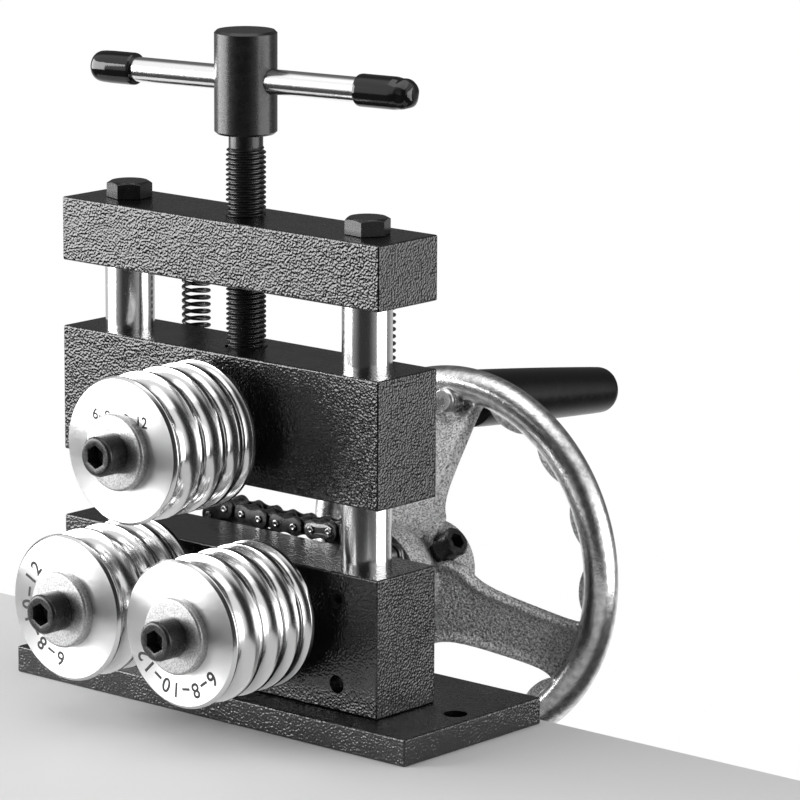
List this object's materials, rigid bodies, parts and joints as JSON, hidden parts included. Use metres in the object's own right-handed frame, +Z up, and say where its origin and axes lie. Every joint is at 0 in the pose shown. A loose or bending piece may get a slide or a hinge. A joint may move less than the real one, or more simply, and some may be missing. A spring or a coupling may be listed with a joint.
{
  "type": "ring roller",
  "caption": "Bench ring roller with grooved rollers, a chain drive from a dished handwheel, and an upper roller on guide columns pressed down by a screw with a tommy bar.",
  "frame": {"origin": "middle of the base plate's underside, midway between its two bench bolt holes", "axes": "+Z up, +X along the blocks' front faces to the user's right, -Y towards the user, handwheel at +Y"},
  "size_m": [0.211, 0.2827, 0.306],
  "materials": {
    "hammer_black": "hammer-textured black powder coat",
    "chrome": "polished hard chrome",
    "bright_steel": "turned and polished",
    "black_oxide": "black oxide",
    "spring_steel": "dark spring steel",
    "chain_steel": "oiled dark steel",
    "cast_grey": "cast, polished on the rim",
    "bronze": "sintered bronze",
    "black_plastic": "smooth black"
  },
  "bodies": {
    "frame": {"base_plate": "hammer_black", "lower_block": "hammer_black", "top_beam": "hammer_black", "columns": "chrome", "beam_bolts": "black_oxide", "lock_screws": "black_oxide", "block_screws": "black_oxide", "lower_bushes": "bronze", "beam_posts": "black_oxide", "return_springs": "spring_steel", "chain_outer_plates": "chain_steel", "chain_inner_plates": "chain_steel", "chain_pins": "chain_steel", "chain_rollers": "chain_steel", "chain_clip": "chain_steel"},
    "press": {"press_block": "hammer_black", "press_bush": "bronze", "thrust_button": "bright_steel", "press_posts": "black_oxide"},
    "screw": {"press_screw": "black_oxide", "screw_head": "black_oxide"},
    "bar": {"tommy_bar": "chrome", "bar_caps": "black_plastic"},
    "upper_set": {"upper_roller": "bright_steel", "upper_shaft": "bright_steel", "upper_keys": "black_oxide", "upper_washer": "bright_steel", "upper_screw": "black_oxide", "upper_collar": "bright_steel", "upper_ring": "black_oxide"},
    "left_set": {"left_roller": "bright_steel", "left_shaft": "bright_steel", "left_keys": "black_oxide", "left_washer": "bright_steel", "left_screw": "black_oxide", "left_collar": "bright_steel", "left_sprocket": "chain_steel", "left_ring": "black_oxide"},
    "drive_set": {"right_roller": "bright_steel", "right_shaft": "bright_steel", "right_keys": "black_oxide", "right_washer": "bright_steel", "right_screw": "black_oxide", "right_collar": "bright_steel", "right_sprocket": "chain_steel", "wheel_spacer": "bright_steel", "handwheel": "cast_grey", "wheel_screw": "black_oxide", "handle_stud": "bright_steel"},
    "grip": {"grip": "black_plastic"}
  },
  "joints": [
    {"name": "press_slide", "type": "slide", "parent": "frame", "child": "press", "axis": [0, 0, 1], "range_m": [-0.0176, 0.0181], "deforming": ["return_springs"]},
    {"name": "screw_turn", "type": "hinge", "parent": "press", "child": "screw", "pos_m": [-0.0055, -0.0105, 0.2], "axis": [0, 0, 1], "range_deg": [-3150, 3240]},
    {"name": "bar_slide", "type": "slide", "parent": "screw", "child": "bar", "axis": [0.9863, 0.165, 0], "range_m": [-0.0398, 0.039]},
    {"name": "upper_spin", "type": "hinge", "parent": "press", "child": "upper_set", "pos_m": [-0.0055, -0.028, 0.115], "axis": [0, 1, 0], "continuous": true},
    {"name": "drive_spin", "type": "hinge", "parent": "frame", "child": "drive_set", "pos_m": [0.02546, -0.028, 0.0468], "axis": [0, 1, 0], "continuous": true, "deforming": ["chain_outer_plates", "chain_inner_plates", "chain_pins", "chain_rollers", "chain_clip"]},
    {"name": "left_spin", "type": "hinge", "parent": "frame", "child": "left_set", "pos_m": [-0.03646, -0.028, 0.0468], "axis": [0, 1, 0], "continuous": true},
    {"name": "grip_spin", "type": "hinge", "parent": "drive_set", "child": "grip", "pos_m": [0.02196, 0.08205, 0.11341], "axis": [0, 0.9938, -0.1115], "continuous": true}
  ],
  "couplings": [
    {"joint": "press_slide", "follows": "screw_turn", "m_per_rad": 0.00031831},
    {"joint": "left_spin", "follows": "drive_spin", "ratio": 1}
  ]
}
